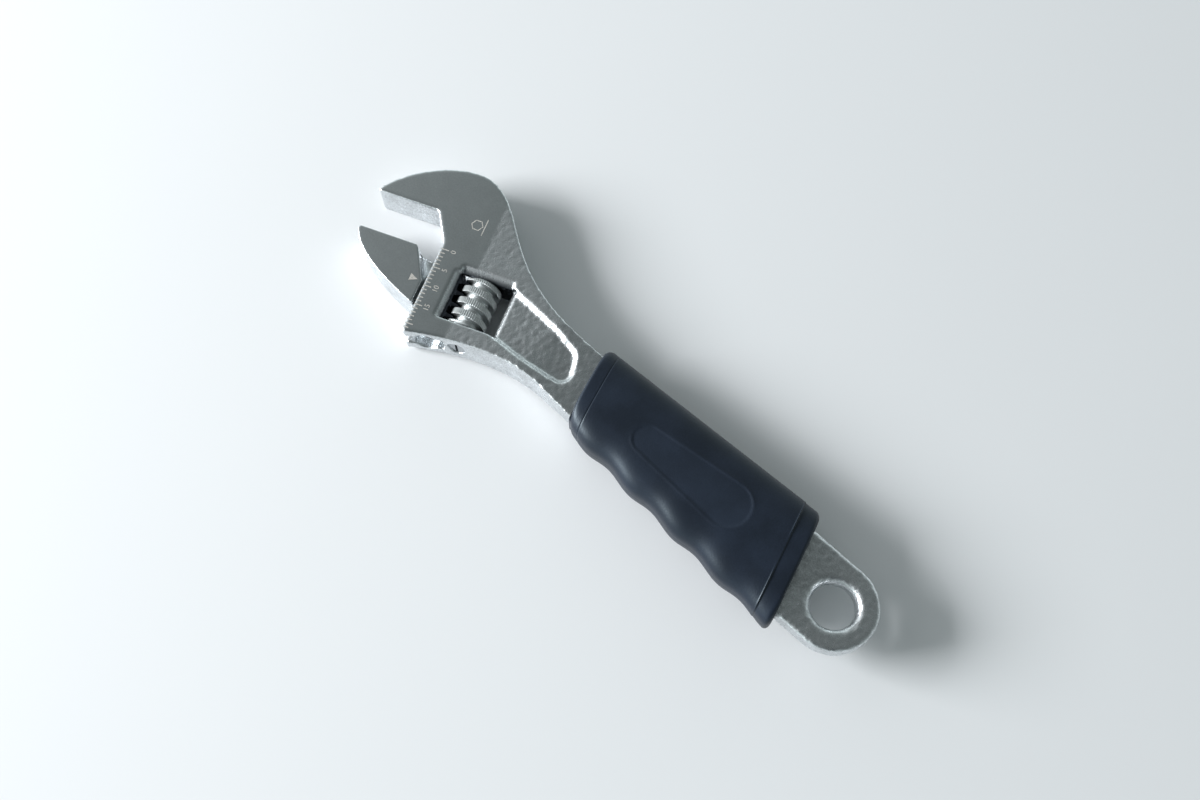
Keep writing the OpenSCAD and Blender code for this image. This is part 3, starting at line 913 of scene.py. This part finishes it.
def floor_plane(stage):
    """A pale floor that touches the grip's front edge and the jaws' outer end."""
    grip_low, grip_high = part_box("grip")
    body_low, body_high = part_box("body")
    near = Vector((grip_high.x - 4 * MM, 0, grip_low.z))
    far = Vector((body_high.x, 0, body_low.z))
    slope = (far.z - near.z) / (far.x - near.x)
    half = 3.0
    mesh = bpy.data.meshes.new("floor")
    corners = [(x, y, near.z + slope * (x - near.x)) for x, y in
               ((-half, -half), (half, -half), (half, half), (-half, half))]
    mesh.from_pydata(corners, [], [(0, 1, 2, 3)])
    material, tree, shader = new_material("pale_board")
    cloud = object_noise(tree, 6, 3)
    shade = blend_colors(tree, cloud, stage.floor, tuple(channel * 0.97 for channel in stage.floor))
    tree.links.new(shade, shader.inputs["Base Color"])
    shader.inputs["Roughness"].default_value = 0.6
    shader.inputs["Specular IOR Level"].default_value = 0.2
    mesh.materials.append(material)
    new_piece("floor", mesh)


def nearness_to(tree, place, direction):
    """1 where the room is seen in this direction, 0 across it and negative behind."""
    toward = add_node(tree, "ShaderNodeVectorMath", {"operation": "DOT_PRODUCT"})
    tree.links.new(place.outputs["Generated"], toward.inputs[0])
    toward.inputs[1].default_value = direction
    return Field(tree, toward.outputs["Value"])


def room(stage):
    """A room that is dark overhead, brighter lower down, and brightest round the window."""
    world = bpy.data.worlds.new("room")
    world.use_nodes = True
    tree = world.node_tree
    place = add_node(tree, "ShaderNodeTexCoord")
    direction = add_node(tree, "ShaderNodeSeparateXYZ", Vector=place.outputs["Generated"])
    height = Field(tree, direction.outputs["Z"]).clamped()
    low = (height * -1 + 1).math("POWER", 2.0)
    wall_place = sky_direction(stage.window_azimuth - WALL_TURN, WALL_ELEVATION)
    nearness = nearness_to(tree, place, wall_place)
    wall = nearness.clamped().math("POWER", 5.0)
    # The lower part is brighter on the window's side
    low = low * (nearness * 0.4 + 0.7)
    horizon = tuple(channel * (1 + stage.horizon) for channel in stage.room)
    shade = blend_colors(tree, low, stage.room, horizon)
    glow = tuple(channel * stage.glow_strength for channel in stage.glow)
    shade = blend_colors(tree, wall, shade, glow)
    # The dark clothes of whoever leans over the wrench
    person = nearness_to(tree, place, sky_direction(*PERSON)).clamped().math("POWER", 10.0)
    shade = blend_colors(tree, person, shade, PERSON_COLOR)
    tree.links.new(shade, tree.nodes["Background"].inputs["Color"])
    return world


class WRENCH_OT_stage(bpy.types.Operator):
    """Set the floor, the window light, the room and the camera"""
    bl_idname = "wrench.stage"
    bl_label = "Stage"

    def execute(self, context):
        scene = context.scene
        stage = scene.wrench_stage
        floor_plane(stage)
        window = sky_direction(stage.window_azimuth, stage.window_elevation)
        softbox("window", window, WINDOW_DISTANCE, WINDOW_SIZE, stage.window_power, WINDOW_TINT)
        scene.world = room(stage)
        scene.view_settings.view_transform = "Standard"
        lens = bpy.data.cameras.new("camera")
        lens.sensor_width = 36
        lens.lens = 36
        lens.clip_start = 0.01
        camera = bpy.data.objects.new("camera", lens)
        scene.collection.objects.link(camera)
        place, target = Vector(stage.camera_place), Vector(stage.camera_target)
        camera.matrix_world = Matrix.Translation(place) @ facing(place, target)
        scene.camera = camera
        return {"FINISHED"}


class WRENCH_PT_sidebar(bpy.types.Panel):
    """Lists what the wrench is made of"""
    bl_idname = "WRENCH_PT_sidebar"
    bl_label = "Adjustable Wrench"
    bl_space_type = "VIEW_3D"
    bl_region_type = "UI"
    bl_category = "Wrench"

    def draw(self, context):
        for operator in OPERATORS:
            self.layout.operator(operator.bl_idname)
        for group in SETTINGS:
            box = self.layout.box()
            box.label(text=group.replace("wrench_", "").title())
            values = getattr(context.scene, group)
            for name in values.bl_rna.properties.keys():
                if name not in ("rna_type", "name"):
                    box.prop(values, name)


SETTINGS = {
    "wrench_head": HeadSettings,
    "wrench_scale": ScaleSettings,
    "wrench_worm": WormSettings,
    "wrench_grip": GripSettings,
    "wrench_stage": StageSettings,
}
OPERATORS = (WRENCH_OT_body, WRENCH_OT_jaw, WRENCH_OT_worm, WRENCH_OT_pin, WRENCH_OT_grip,
             WRENCH_OT_scale, WRENCH_OT_stage)


def register():
    for kind in (*SETTINGS.values(), *OPERATORS, WRENCH_PT_sidebar):
        bpy.utils.register_class(kind)
    for name, kind in SETTINGS.items():
        setattr(bpy.types.Scene, name, PointerProperty(type=kind))


def unregister():
    for name in SETTINGS:
        delattr(bpy.types.Scene, name)
    for kind in reversed((*SETTINGS.values(), *OPERATORS, WRENCH_PT_sidebar)):
        bpy.utils.unregister_class(kind)


def main():
    register()
    bpy.ops.wrench.body()
    bpy.ops.wrench.jaw()
    bpy.ops.wrench.worm()
    bpy.ops.wrench.pin()
    bpy.ops.wrench.grip()
    bpy.ops.wrench.scale()
    bpy.ops.wrench.stage()


if __name__ == "__main__":
    main()
